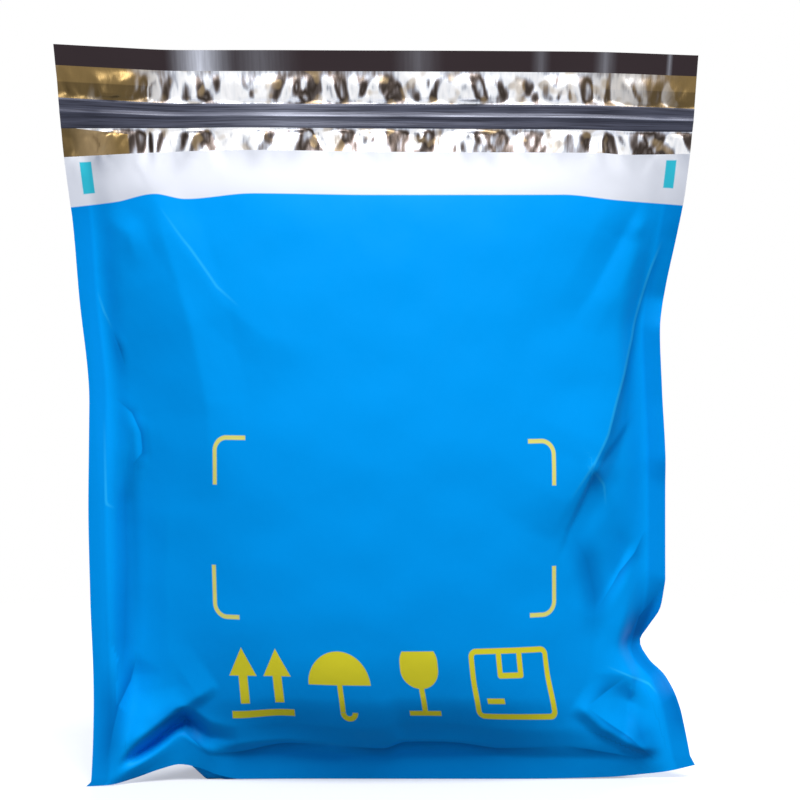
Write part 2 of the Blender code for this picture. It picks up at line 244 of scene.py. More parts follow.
def puckers(x, level, seed, count, depth, width, lean):
    """Upright puckers: a sum of tents, each its height times 1 less the distance over its width.

    Each leans as it leaves the zip's edge, and all swell in over 3 or 4 mm there and fade out again
    before the strip above and the white band below.
    """
    rng = np.random.default_rng(seed)
    half = HEAD_WIDTH / 2 - SIDE_SEAL
    places = np.linspace(-half, half, count) + rng.uniform(-0.4, 0.4, count) * (2 * half / count)
    heights = depth * rng.uniform(-1.0, 1.0, count)
    leans = rng.uniform(-lean, lean, count)
    widths = width * rng.uniform(0.7, 1.4, count)
    zip_top = STANDING_HEIGHT - ZIP_TOP
    zip_foot = zip_top - ZIP_HEIGHT
    middle = (zip_top + zip_foot) / 2
    away = np.where(level > middle, level - zip_top, zip_foot - level)
    upward = np.where(level > middle, 1, -1)
    total = np.zeros_like(x)
    for place, height, slant, span in zip(places, heights, leans, widths):
        total += height * np.clip(1 - np.abs(x - place - slant * away * upward) / span, 0, 1)
    upper = swell(0, 3, away) * swell(ZIP_TOP - HEAD_SEAL, ZIP_TOP - TEAR_STRIP, away)
    lower = swell(0, 4, away) * swell(FOIL_END - ZIP_TOP - ZIP_HEIGHT + 12, 6, away)
    return total * np.where(level > middle, upper, lower)


def head_waves(x, level):
    """Two sines across the slack head, fading out down to the foot of the white band."""
    wave = 1.6 * np.sin(x / 27.0 + 0.6) + 1.0 * np.sin(x / 14.5 + 2.0)
    return wave * swell(STANDING_HEIGHT - WHITE_END, STANDING_HEIGHT - ZIP_TOP, level)


def beside(x, z, route, height):
    """The distance to a route's nearest point and the height given there.

    The distance is above 0 on the left of the way and below 0 on its right. A height is given for each of
    the route's points and goes evenly from one to the next.
    """
    route = np.array(route, float)
    height = np.broadcast_to(height, len(route)).astype(float)
    nearest = np.full(x.shape, np.inf)
    rise = np.zeros(x.shape)
    for (x0, z0), (x1, z1), h0, h1 in zip(route, route[1:], height, height[1:]):
        length = np.hypot(x1 - x0, z1 - z0)
        ux, uz = (x1 - x0) / length, (z1 - z0) / length
        along = np.clip(((x - x0) * ux + (z - z0) * uz) / length, 0, 1)
        dx, dz = x - x0 - along * length * ux, z - z0 - along * length * uz
        away = np.hypot(dx, dz) * np.where(ux * dz - uz * dx > 0, 1, -1)
        closer = np.abs(away) < np.abs(nearest)
        nearest = np.where(closer, away, nearest)
        rise = np.where(closer, h0 + (h1 - h0) * along, rise)
    return nearest, rise


def crease(x, z, route, height, reach, soft=0.6):
    """A fold: its height times 1 less the distance over the reach on that side, to the power of 1.3.

    The reach is given for the left and the right of the way, and the crest is rounded over the soft
    distance.
    """
    nearest, rise = beside(x, z, route, height)
    width = np.where(nearest > 0, reach[0], reach[1])
    slope = np.clip(1 - (np.sqrt(nearest ** 2 + soft ** 2) - soft) / width, 0, 1)
    return rise * slope ** 1.3


def front_creases(x, z):
    """The front's folds, as a sum of creases.

    Rolls hang from the head's corners, dents lie beside the side seals, and at the foot are a pleat and a
    ridge on the left, low swells over the root, and a flap like an ear on the right.
    """
    left_roll = crease(
        x, z, [(-118, 310), (-104, 286), (-80, 254), (-60, 236), (-22, 226)],
        [1, 1.4, 1.4, 1, 0], (30, 14),
    )
    left_facet = crease(x, z, [(-118, 308), (-112, 288), (-105, 267), (-97, 242), (-88, 200), (-84, 150)],
        [0, 3, 4, 4, 3, 0], (22, 54))
    top_dent = crease(x, z, [(-144, 296), (-130, 288), (-124, 270)], [0, 1.8, 0], (10, 12))
    left_nick = crease(x, z, [(-141, 241), (-136, 230), (-131, 214)], [0, 1.6, 0], (5, 9))
    seal_crease = crease(
        x, z, [(-137, 201), (-127, 188), (-125, 170), (-131, 148)], [0, 2, 2.6, 0], (6, 18)
    )
    left_valley = crease(
        x, z, [(-127, 186), (-132, 161), (-135, 136), (-136, 104), (-134, 58), (-135, 36)],
        [0, -3, -6, -6, -5, -2], (26, 5),
    )
    foot_pleat = crease(
        x, z, [(-124, 66), (-130, 52), (-134, 38), (-138, 22), (-142, 8)],
        [0, -3.5, -4.5, -4.5, -2], (14, 5),
    )
    foot_ridge = crease(
        x, z, [(-83, 54), (-93, 47), (-114, 31), (-132, 17), (-147, 6)], [0, 3, 5.5, 5, 3], (5, 34)
    )
    foot_hollow = crease(
        x, z, [(-72, 22), (-90, 25), (-101, 33), (-116, 21), (-136, 9)], [0, -5, -10, -10, -4], (9, 8)
    )
    shelf = crease(
        x, z, [(-84, 19), (-62, 22), (-46, 23), (-20, 20), (-4, 18)], [0, 2, 2.6, 2, 0], (8, 4)
    )
    root_lift = crease(x, z, [(2, 18), (12, 23), (40, 22), (66, 19)], [0, 2.6, 2.6, 0], (8, 4))
    right_roll = crease(
        x, z,
        [(157, 305), (150, 278), (139, 247), (135, 228), (130, 212), (125, 193), (120, 177), (115, 166)],
        [0, 3, 5, 5.5, 6, 6, 5.5, 4], (9, 54),
    )
    fork = crease(x, z, [(115, 166), (101, 149), (90, 130)], [4, 2.5, 0], (14, 44))
    fork_right = crease(x, z, [(115, 166), (122, 152), (126, 140)], [1.5, 1, 0], (5, 6))
    right_dent = crease(x, z, [(145, 134), (134, 122), (126, 109), (112, 88)], [-1, -4, -3.5, 0], (7, 22))
    seal_patch = crease(x, z, [(147, 198), (146, 182), (138, 170)], [0, 2, 0], (7, 9))
    upper_valley = crease(
        x, z, [(141, 308), (129, 285), (115, 260), (100, 238)], [0, -3, -2, 0], (12, 14)
    )
    upper_patch = crease(x, z, [(147, 300), (140, 291), (133, 286)], [0, 1.4, 0], (6, 7))
    pinch = crease(
        x, z, [(152, 104), (146, 89), (139, 76), (136, 66), (136, 56)], [0, 1.5, 4, 4, 2], (4, 22)
    )
    ear_top = crease(x, z, [(112, 58), (134, 56), (148, 48)], [0, 2.5, 3], (9, 12))
    ear_side = crease(x, z, [(148, 48), (149, 28), (152, 13)], [3, 3, 1], (10, 8))
    ear_edge = crease(
        x, z, [(104, 42), (110, 38), (120, 29), (131, 22), (142, 16), (151, 11)],
        [0, 3, 4, 4.5, 4, 1], (18, 6),
    )
    ear_dip = crease(x, z, [(133, 42), (131, 26)], [-1.6, -1.6], (6, 10))
    return (
        left_roll + left_facet + top_dent + left_nick + seal_crease + left_valley
        + foot_pleat + foot_ridge + foot_hollow + shelf + root_lift
        + right_roll + fork + fork_right + right_dent + seal_patch + upper_valley + upper_patch
        + pinch + ear_top + ear_side + ear_edge + ear_dip
    )


def edge_folds(x, z):
    """Where the side seals bend, a sum of creases: the left turns back, the right curls at two waists."""
    left_turn = crease(
        x, z, [(-166, 320), (-163, 240), (-157, 150), (-155, 60), (-153, 30)],
        [0, -2, -3, -3, 0], (12, 14),
    )
    right_curl = crease(x, z, [(172, 321), (160, 283), (153, 253), (152, 238)], [0, -5, -6, 0], (16, 16))
    right_wave = crease(x, z, [(156, 198), (156, 170)], [0, 3], (12, 16))
    pinch_curl = crease(
        x, z, [(154, 104), (146, 87), (141, 72), (150, 58), (160, 46)], [0, -6, -12, -8, 0], (12, 14)
    )
    return left_turn + right_curl + right_wave + pinch_curl


def back_creases(x, z):
    """The back's folds, a sum of creases: rolls from the head, dents by the seals, folds at the heel."""
    return (
        crease(x, z, [(128, 302.5), (104, 264.5), (66, 238.5)], [0, 4, 0], (26, 26))
        + crease(x, z, [(-132, 292.5), (-116, 242.5), (-108, 192.5)], [0, 4, 0], (24, 18))
        + crease(x, z, [(133, 172.5), (129, 122.5), (130, 72.5)], [0, -6, 0], (18, 11))
        + crease(x, z, [(-133, 152.5), (-129, 107.5), (-131, 62.5)], [0, -6, 0], (11, 18))
        + crease(x, z, [(-96, 54.5), (-70, 42.5), (-40, 54.5)], [0, 3, 0], (12, 10))
        + crease(x, z, [(60, 58.5), (88, 44.5), (112, 52.5)], [0, 3, 0], (12, 10))
    )


def slack(x, z, seed):
    """The film's slack: eight sines of 30 to 90 mm in all directions, 0.07 mm each."""
    rng = np.random.default_rng(seed)
    wave = np.zeros_like(x)
    for _ in range(8):
        turn = rng.uniform(0, 2 * np.pi)
        length = rng.uniform(30, 90)
        start = rng.uniform(0, 2 * np.pi)
        wave += 0.07 * np.sin(2 * np.pi * (x * np.cos(turn) + z * np.sin(turn)) / length + start)
    return wave


def films_at(across, level):
    """Both films' points: the side seals' surface, moved by the profiles times how full the bag is there.

    The zip, the puckers and the head's waves move both films, and the creases and the slack move each its
    own. Half the whole's depth lies on each side of the origin.
    """
    above = np.maximum(level, FOOT_SEAL)
    x = spread(across, level)
    root_height = FOOT_SEAL + band_rise(across, np.full_like(level, FOOT_SEAL))
    flat_z = np.where(
        level > FOOT_SEAL, level + band_rise(across, above), foot_fin(across, level, root_height)
    )
    full = fullness(x, level, across)
    hug = 1 + 1.2 * swell(FOOT_SEAL, 50, level)
    seal = seal_depth(above, across) * (1 - full) ** hug
    gap = FILM_GAP / 2 * swell(0, 0.2, full) * swell(FOOT_SEAL, FOOT_SEAL + 8, level)
    relief = zip_relief(level) + gap
    relief = relief * swell(STANDING_HEIGHT - HEAD_SEAL, STANDING_HEIGHT - TEAR_STRIP, level)
    relief = relief + SEAL_THICKNESS / 2
    both = puckers(x, level, **WIDE_PUCKERS) + puckers(x, level, **FINE_PUCKERS) + head_waves(x, level)
    hem = HEM_BACK * np.clip(1 - level / FOOT_SEAL, 0, 1) * swell(0, 0.3, full)
    both = both + seal - edge_folds(x, flat_z) + hem
    stretched = swell(0, 0.25, full) * swell(FOOT_SEAL - 1, FOOT_SEAL + 6, level)

    front_y = both - relief + full * front_profile(above)
    front_y = front_y - (front_creases(x, flat_z) + slack(x, flat_z, 5)) * stretched

    back_depth, back_height = back_profile(above)
    back_z = np.where(level > FOOT_SEAL, flat_z + full * (back_height - level), flat_z)
    back_y = both + relief + full * back_depth
    back_y = back_y + (back_creases(x, back_z) + slack(x, back_z, 6)) * swell(46, 70, level) * stretched
    front = np.stack([x, front_y, np.maximum(flat_z, 0)], axis=-1)
    back = np.stack([x, back_y, np.maximum(back_z, 0)], axis=-1)
    deepest = max(front[..., 1].max(), back[..., 1].max())
    middle = (min(front[..., 1].min(), back[..., 1].min()) + deepest) / 2
    front[..., 1] -= middle
    back[..., 1] -= middle
    return front, back


def level_rows():
    """The levels of the mesh's rows, close together at the foot, in the foil and over the zip."""
    head = STANDING_HEIGHT
    zip_top = head - ZIP_TOP
    zip_foot = zip_top - ZIP_HEIGHT
    spans = [
        (0, FOOT_SEAL, 8), (FOOT_SEAL, 64, 44), (64, head - WHITE_END, 96),
        (head - WHITE_END, head - FOIL_END, 10), (head - FOIL_END, zip_foot, 14), (zip_foot, zip_top, 16),
        (zip_top, head - TEAR_STRIP, 9), (head - TEAR_STRIP, head - HEAD_SEAL, 7),
        (head - HEAD_SEAL, head, 6),
    ]
    rows = [np.linspace(start, end, steps, endpoint=False) for start, end, steps in spans]
    return np.append(np.concatenate(rows), head)


def closed_skin(front, back):
    """Both films' points in one list, quads over each film, and a strip of quads round their rim."""
    rows, columns = front.shape[:2]
    index = np.arange(rows * columns).reshape(rows, columns)

    def quads(grid):
        """Four corners for each square between a grid's points."""
        corners = [grid[:-1, :-1], grid[:-1, 1:], grid[1:, 1:], grid[1:, :-1]]
        return np.stack(corners, axis=-1).reshape(-1, 4)

    rim = np.concatenate([index[0, :-1], index[:-1, -1], index[-1, :0:-1], index[:0:-1, 0]])
    after = np.roll(rim, -1)
    behind = rows * columns
    strip = np.stack([rim + behind, after + behind, after, rim], axis=-1)
    faces = np.concatenate([quads(index), quads(index)[:, ::-1] + behind, strip])
    return np.concatenate([front.reshape(-1, 3), back.reshape(-1, 3)]), faces


COLUMN_COUNT = 228
CROWDING = 0.25
BACK_OFFSET = 1000.0

# The columns stand closer together near the side seals, by a sine that is added to even steps.
rows = level_rows()
share = np.linspace(-1, 1, COLUMN_COUNT + 1)
columns = share + CROWDING * np.sin(np.pi * share) / np.pi
across, level = np.meshgrid(columns, rows)
front, back = films_at(across, level)
points, faces = closed_skin(front * MM, back * MM)

pouch_mesh = bpy.data.meshes.new("film_pouch")
pouch_mesh.from_pydata(points, [], faces.tolist())

# A map of the flat films in metres for the print, with the back film 1 m to the right of the front.
flat_x = np.concatenate([across.ravel(), across.ravel()]) * HEAD_WIDTH / 2 * MM
flat_z = np.concatenate([level.ravel(), level.ravel()]) * MM
flat_x[across.size:] += BACK_OFFSET * MM
corner = np.zeros(len(pouch_mesh.loops), int)
pouch_mesh.loops.foreach_get("vertex_index", corner)
film_map = pouch_mesh.uv_layers.new(name="flat_film")
film_map.data.foreach_set("uv", np.stack([flat_x[corner], flat_z[corner]], axis=-1).ravel())

# The front film's sharpest creases, by millimetres across and up the flat film. Light is painted on them
# in the print's colour: a painted highlight along crests, painted shade on the left of the way of folds
# and painted shade on both sides of soft valleys. The mesh keeps how far away the nearest one is, so that
# a line stays crisp between the mesh's points.
MAIN_CREST = [
    (162.4, 289), (159, 271.5), (155.3, 247), (153, 233), (146.8, 214), (140.8, 199), (135, 183),
    (127, 170), (111.6, 150),
]
CREST_HIGHLIGHTS = [
    MAIN_CREST,
    [(-121, 303), (-103.4, 282), (-88.4, 261), (-75, 250)],
    [(-161.2, 192), (-159.5, 146.4), (-154.4, 144.5)],
    [(-159.2, 258), (-156.4, 247), (-152, 237)],
    [(122.7, 168), (132.3, 157), (133.5, 145)],
    [(136.3, 62), (146.8, 57), (157, 51), (159.5, 46)],
]
SHADED_FOLDS = [
    MAIN_CREST,
    [(-154, 201.5), (-144, 194.6), (-138.5, 184.6), (-137.4, 174), (-144, 166.6)],
    [(-162.6, 20), (-159, 36.5), (-156, 46), (-149, 56), (-145, 67)],
    [(-152, 237), (-149, 228), (-146.8, 218)],
    [(158.4, 131), (151.6, 119), (142.5, 110), (128.6, 90.5)],
    [(166.3, 97), (159, 85), (163.5, 72), (158.4, 61)],
    [(151.9, 11), (137.4, 26), (126.4, 33.5), (115, 42)],
    [(115, 42.6), (129, 49.5), (146, 57)],
    [(-120.4, 19.4), (-112, 18), (-104, 15.2)],
    [(-35, 20), (-60, 18.6), (-87, 16.6), (-104, 15.5)],
    [(96, 21), (60, 18.4), (30, 19.4), (-10, 18.4), (-34, 19.8)],
    [(140, 14.5), (128, 17), (112, 19.6), (97, 21.5)],
]
SOFT_VALLEYS = [
    [(-150, 178), (-148.5, 150), (-148, 117), (-151, 76), (-155, 50)],
    [(-158, 66), (-160, 48), (-160, 30), (-162, 12)],
    [(112, 135), (122, 118), (127, 98), (128, 76)],
    [(169, 98), (163, 84), (165, 72), (166, 60), (167, 48), (168, 34), (168, 22)],
    [(141, 42), (144, 27), (149, 10)],
    [(-142, 30), (-128, 30), (-116, 26), (-100, 24)],
]
FAR_AWAY = 99.0


def nearest_line(x, level, routes):
    """The distance to the nearest of several lines, above 0 on the left of its way, and its strength.

    The strength is 1 along a line and fades to 0 over its first and its last piece. It is multiplied by
    1.6 less the distance over 9 mm, kept between 0 and 1.
    """
    distance = np.full(x.shape, FAR_AWAY)
    strength = np.zeros(x.shape)
    for route in routes:
        away, rise = beside(x, level, route, [0] + [1] * (len(route) - 2) + [0])
        closer = np.abs(away) < np.abs(distance)
        distance = np.where(closer, away, distance)
        strength = np.where(closer, rise * np.clip(1.6 - np.abs(away) / 9, 0, 1), strength)
    return np.stack([distance, strength, 0 * distance], axis=-1)


for name, routes in (
    ("crest_highlight", CREST_HIGHLIGHTS), ("shaded_fold", SHADED_FOLDS), ("soft_valley", SOFT_VALLEYS),
):
    field = nearest_line(across.ravel() * HEAD_WIDTH / 2, level.ravel(), routes)
    field = np.concatenate([field, np.tile([FAR_AWAY, 0.0, 0.0], (across.size, 1))])
    attribute = pouch_mesh.attributes.new(name, "FLOAT_VECTOR", "POINT")
    attribute.data.foreach_set("vector", field.ravel())

pouch_mesh.shade_smooth()
pouch_mesh.set_sharp_from_angle(angle=np.radians(60))

pouch = bpy.data.objects.new("film_pouch", pouch_mesh)
bpy.context.scene.collection.objects.link(pouch)
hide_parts("mailer_bag")
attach(pouch, "root")

# The bag's four kinds of surface, by a face's height on the flat bag: print, foil, zip, foil and the dark
# strip. All are films of the same pouch: ink on white polyethylene, bare foil, the zip's plastic and dark
# ink on foil.
ZONE_TOPS = [
    STANDING_HEIGHT - FOIL_END, STANDING_HEIGHT - ZIP_TOP - ZIP_HEIGHT, STANDING_HEIGHT - ZIP_TOP,
    STANDING_HEIGHT - HEAD_SEAL,
]
PRINT, FOIL, ZIP, STRIP = 0, 1, 2, 3
face_level = flat_z[faces].mean(axis=1) / MM
face_zone = np.array([PRINT, FOIL, ZIP, FOIL, STRIP])[np.searchsorted(ZONE_TOPS, face_level)]
pouch_mesh.polygons.foreach_set("material_index", face_zone.astype(np.int32))


def new_material(name):
    """An empty node material: the material, its node tree and its Principled shader."""
    material = bpy.data.materials.new(name)
    material.use_nodes = True
    return material, material.node_tree, material.node_tree.nodes["Principled BSDF"]


def feed(tree, socket, value):
    """Joins a socket to another one, or sets it to a plain value."""
    if isinstance(value, bpy.types.NodeSocket):
        tree.links.new(value, socket)
    else:
        socket.default_value = value


def maths(tree, operation, *values):
    """The outcome of a Math node on sockets or plain numbers."""
    node = tree.nodes.new("ShaderNodeMath")
    node.operation = operation
    for socket, value in zip(node.inputs, values):
        feed(tree, socket, value)
    return node.outputs[0]


def vectors(tree, operation, *values):
    """The outcome of a Vector Math node: a number for LENGTH and DOT_PRODUCT, else a vector."""
    node = tree.nodes.new("ShaderNodeVectorMath")
    node.operation = operation
    for socket, value in zip(node.inputs, values):
        feed(tree, socket, value)
    return node.outputs["Value" if operation in ("LENGTH", "DOT_PRODUCT") else "Vector"]


def axes(tree, vector):
    """The three numbers of a vector."""
    node = tree.nodes.new("ShaderNodeSeparateXYZ")
    feed(tree, node.inputs[0], vector)
    return node.outputs


def ramp(tree, value, low, high, at_low=0.0, at_high=1.0):
    """An even change from one number at low to another at high, held beyond both."""
    node = tree.nodes.new("ShaderNodeMapRange")
    for socket, number in zip(node.inputs, (value, low, high, at_low, at_high)):
        feed(tree, socket, number)
    return node.outputs[0]


def blend(tree, share, first, second):
    """The colour that goes from the first to the second as the share goes from 0 to 1."""
    node = tree.nodes.new("ShaderNodeMix")
    node.data_type = "RGBA"
    for socket, value in zip((node.inputs[0], node.inputs[6], node.inputs[7]), (share, first, second)):
        feed(tree, socket, value)
    return node.outputs[2]


def effect_group(name, inputs, output):
    """A shader node group of named inputs with their usual values and one named number as its output."""
    tree = bpy.data.node_groups.new(name, "ShaderNodeTree")
    for label, value in inputs.items():
        kind = "NodeSocketVector" if isinstance(value, tuple) else "NodeSocketFloat"
        tree.interface.new_socket(label, in_out="INPUT", socket_type=kind).default_value = value
    tree.interface.new_socket(output, in_out="OUTPUT", socket_type="NodeSocketFloat")
    return tree, tree.nodes.new("NodeGroupInput").outputs, tree.nodes.new("NodeGroupOutput").inputs[0]


def use_group(tree, group, values):
    """The output of a shader node group used in a tree, with values for some of its inputs by name."""
    node = tree.nodes.new("ShaderNodeGroup")
    node.node_tree = group
    for label, value in values.items():
        feed(tree, node.inputs[label], value)
    return node.outputs[0]


def flat_place(tree):
    """A place on the flat films in millimetres: across from the front's middle, and up from the foot."""
    node = tree.nodes.new("ShaderNodeUVMap")
    node.uv_map = "flat_film"
    return vectors(tree, "DIVIDE", node.outputs["UV"], (MM, MM, 1.0))


def either_side(tree, across):
    """A place across the front or the back of the flat bag, both counted from the bag's middle."""
    on_back = maths(tree, "GREATER_THAN", across, BACK_OFFSET / 2)
    return maths(tree, "MULTIPLY_ADD", on_back, -BACK_OFFSET, across)


def bump(tree, height, depth):
    """A normal bent by a height from 0 to 1 that stands for a depth in millimetres."""
    node = tree.nodes.new("ShaderNodeBump")
    node.inputs["Distance"].default_value = depth * MM
    feed(tree, node.inputs["Height"], height)
    return node.outputs["Normal"]


# Shared effects of print: the distance in millimetres from a printed shape's edge, less than 0 inside it.
box_shape, given, result = effect_group(
    "box_shape",
    {"Flat": (0.0, 0.0, 0.0), "Centre": (0.0, 0.0, 0.0), "Half Size": (1.0, 1.0, 0.0), "Round": 0.0},
    "Distance",
)
corner = box_shape.nodes.new("ShaderNodeCombineXYZ")
feed(box_shape, corner.inputs["X"], given["Round"])
feed(box_shape, corner.inputs["Y"], given["Round"])
away = vectors(box_shape, "ABSOLUTE", vectors(box_shape, "SUBTRACT", given["Flat"], given["Centre"]))
away = vectors(box_shape, "SUBTRACT", away, given["Half Size"])
away = vectors(box_shape, "ADD", away, corner.outputs[0])
outside = vectors(box_shape, "LENGTH", vectors(box_shape, "MAXIMUM", away, (0.0, 0.0, 0.0)))
sides = axes(box_shape, away)
inside = maths(box_shape, "MINIMUM", maths(box_shape, "MAXIMUM", sides["X"], sides["Y"]), 0.0)
distance = maths(box_shape, "SUBTRACT", maths(box_shape, "ADD", outside, inside), given["Round"])
feed(box_shape, result, distance)

arrow_head, given, result = effect_group(
    "arrow_head",
    {"Flat": (0.0, 0.0, 0.0), "Foot": (0.0, 0.0, 0.0), "Half Width": 6.0, "Height": 12.0},
    "Distance",
)
away = axes(arrow_head, vectors(arrow_head, "SUBTRACT", given["Flat"], given["Foot"]))
slant = maths(arrow_head, "DIVIDE", maths(arrow_head, "ABSOLUTE", away["X"]), given["Half Width"])
slant = maths(arrow_head, "ADD", slant, maths(arrow_head, "DIVIDE", away["Y"], given["Height"]))
slant = maths(arrow_head, "MULTIPLY", maths(arrow_head, "SUBTRACT", slant, 1.0), given["Half Width"])
below = maths(arrow_head, "MULTIPLY", away["Y"], -1.0)
feed(arrow_head, result, maths(arrow_head, "MAXIMUM", slant, below))

corner_mark, given, result = effect_group(
    "corner_mark",
    {
        "Flat": (0.0, 0.0, 0.0), "Corner": (0.0, 0.0, 0.0), "Arms": (15.0, 25.0, 0.0), "Round": 7.0,
        "Stroke": 2.3,
    },
    "Distance",
)
inward = vectors(corner_mark, "SUBTRACT", given["Flat"], given["Corner"])
inward = vectors(corner_mark, "MULTIPLY", inward, vectors(corner_mark, "SIGN", given["Arms"]))
turn_place = corner_mark.nodes.new("ShaderNodeCombineXYZ")
feed(corner_mark, turn_place.inputs["X"], given["Round"])
feed(corner_mark, turn_place.inputs["Y"], given["Round"])
to_turn = vectors(corner_mark, "SUBTRACT", turn_place.outputs[0], inward)
arc = vectors(corner_mark, "LENGTH", vectors(corner_mark, "MAXIMUM", to_turn, (0.0, 0.0, 0.0)))
arc = maths(corner_mark, "ABSOLUTE", maths(corner_mark, "SUBTRACT", arc, given["Round"]))
line = maths(corner_mark, "SUBTRACT", arc, maths(corner_mark, "DIVIDE", given["Stroke"], 2.0))
arms = vectors(corner_mark, "ABSOLUTE", given["Arms"])
past = axes(corner_mark, vectors(corner_mark, "SUBTRACT", inward, arms))
past_ends = maths(corner_mark, "MAXIMUM", past["X"], past["Y"])
feed(corner_mark, result, maths(corner_mark, "MAXIMUM", line, past_ends))

# Shared effect of painted light on slack film: a painted sheen in an upright band, the 1.5th power of the
# way in from its reach.
sheen_band, given, result = effect_group(
    "sheen_band", {"Flat": (0.0, 0.0, 0.0), "Middle": 0.0, "Reach": 10.0, "Strength": 0.2}, "Sheen"
)
away = maths(sheen_band, "SUBTRACT", axes(sheen_band, given["Flat"])["X"], given["Middle"])
away = maths(sheen_band, "DIVIDE", maths(sheen_band, "ABSOLUTE", away), given["Reach"])
fading = maths(sheen_band, "POWER", ramp(sheen_band, away, 0.0, 1.0, 1.0, 0.0), 1.5)
feed(sheen_band, result, maths(sheen_band, "MULTIPLY", fading, given["Strength"]))

# Shared effect of handling: noise from 0 to 1 in cells of a given size on the flat bag.
film_grain, given, result = effect_group(
    "film_grain", {"Flat": (0.0, 0.0, 0.0), "Cell": (4.0, 4.0, 1.0), "Fineness": 2.0}, "Height"
)
noise = film_grain.nodes.new("ShaderNodeTexNoise")
noise.inputs["Scale"].default_value = 1.0
feed(film_grain, noise.inputs["Vector"], vectors(film_grain, "DIVIDE", given["Flat"], given["Cell"]))
feed(film_grain, noise.inputs["Detail"], given["Fineness"])
feed(film_grain, result, noise.outputs[0])

# The printed film: blue ink on white polyethylene, which shows as a white band under the foil. Pale
# yellow corner marks frame the place for a label, a row of yellow handling signs runs under it, and two
# teal patches mark the print's ends in the white band. The side welds are painted a little deeper blue,
# as painted shade.
BLUE_INK = (0.0, 0.38, 0.95, 1)
WELD_SHADE_BLUE = (0.0, 0.32, 0.83, 1)
CREST_HIGHLIGHT_BLUE = (0.03, 0.56, 1.0, 1)
CREST_STRENGTH = 0.6
CREST_REACH = 1.1
SHADE_BLUE = (0.0, 0.16, 0.5, 1)
FOLD_STRENGTH = 0.75
FOLD_REACH = 6.5
VALLEY_STRENGTH = 0.65
VALLEY_REACH = 12.0
WHITE_FILM = (0.9, 0.9, 0.9, 1)
PALE_YELLOW = (0.93, 0.86, 0.20, 1)
SIGN_YELLOW = (0.98, 0.86, 0.035, 1)
TEAL = (0.045, 0.61, 0.716, 1)
PRINT_SOFT = 0.25
LABEL_CORNERS = (
    ((-94.6, 183.2), (18.0, -24.5)), ((102.2, 181.2), (-14.8, -23.0)),
    ((-96.0, 90.0), (14.2, 26.8)), ((102.2, 90.6), (-14.6, 25.2)),
)
SIGN_PLACE = (3.0, 55.0, 0.0)
SIGN_STROKE = 3.0

film, tree, shader = new_material("printed_film")
flat = flat_place(tree)


def printed(distance, ink, under):
    """An ink laid over a colour inside a shape, whose edge is as soft as print on film."""
    return blend(tree, ramp(tree, distance, -PRINT_SOFT, PRINT_SOFT, 1.0, 0.0), under, ink)


def nearest(*distances):
    """The distance from several shapes taken as one."""
    total = distances[0]
    for distance in distances[1:]:
        total = maths(tree, "MINIMUM", total, distance)
    return total


def box(place, centre, half_size, radius=0.0):
    """A box's distance, its corners rounded by a radius."""
    return use_group(tree, box_shape, {
        "Flat": place, "Centre": (*centre, 0.0), "Half Size": (*half_size, 0.0), "Round": radius,
    })


def outline(distance, stroke):
    """A line of a given width along a shape's edge."""
    return maths(tree, "SUBTRACT", maths(tree, "ABSOLUTE", distance), stroke / 2)


def line_at(name):
    """The mesh's distance to the nearest line of a kind, and that line's strength."""
    node = tree.nodes.new("ShaderNodeAttribute")
    node.attribute_name = name
    axis = axes(tree, node.outputs["Vector"])
    return axis["X"], axis["Y"]


def tinted(mask, line_strength, strength, tint, under):
    """A colour tinted where a mask is 1, by a strength times the line's own."""
    share = maths(tree, "MULTIPLY", mask, maths(tree, "MULTIPLY", line_strength, strength))
    return blend(tree, share, under, tint)


sides = axes(tree, flat)
from_edge = maths(tree, "ABSOLUTE", either_side(tree, sides["X"]))
# The side welds' deeper blue is painted shade.
weld = ramp(tree, from_edge, HEAD_WIDTH / 2 - SIDE_SEAL - 1, HEAD_WIDTH / 2 - SIDE_SEAL + 1)
colour = blend(tree, weld, BLUE_INK, WELD_SHADE_BLUE)

# Painted shade: a deeper blue on the left of the folds' way, and on both sides of the soft valleys.
fold_away, fold_strength = line_at("shaded_fold")
shade = maths(
    tree, "MINIMUM", ramp(tree, fold_away, -0.9, 0.0), ramp(tree, fold_away, 0.0, FOLD_REACH, 1.0, 0.0)
)
colour = tinted(maths(tree, "POWER", shade, 1.6), fold_strength, FOLD_STRENGTH, SHADE_BLUE, colour)
valley_away, valley_strength = line_at("soft_valley")
shade = ramp(tree, maths(tree, "ABSOLUTE", valley_away), 0.0, VALLEY_REACH, 1.0, 0.0)
colour = tinted(shade, valley_strength, VALLEY_STRENGTH, SHADE_BLUE, colour)
# Painted highlight: a paler blue along the crests.
crest_away, crest_strength = line_at("crest_highlight")
shine = ramp(tree, maths(tree, "ABSOLUTE", crest_away), 0.2, CREST_REACH, 1.0, 0.0)
colour = tinted(shine, crest_strength, CREST_STRENGTH, CREST_HIGHLIGHT_BLUE, colour)

white_edge = maths(tree, "SUBTRACT", STANDING_HEIGHT - WHITE_END, sides["Y"])
colour = printed(white_edge, WHITE_FILM, colour)
for corner_place, arms in LABEL_CORNERS:
    mark = use_group(
        tree, corner_mark, {"Flat": flat, "Corner": (*corner_place, 0.0), "Arms": (*arms, 0.0)}
    )
    colour = printed(mark, PALE_YELLOW, colour)

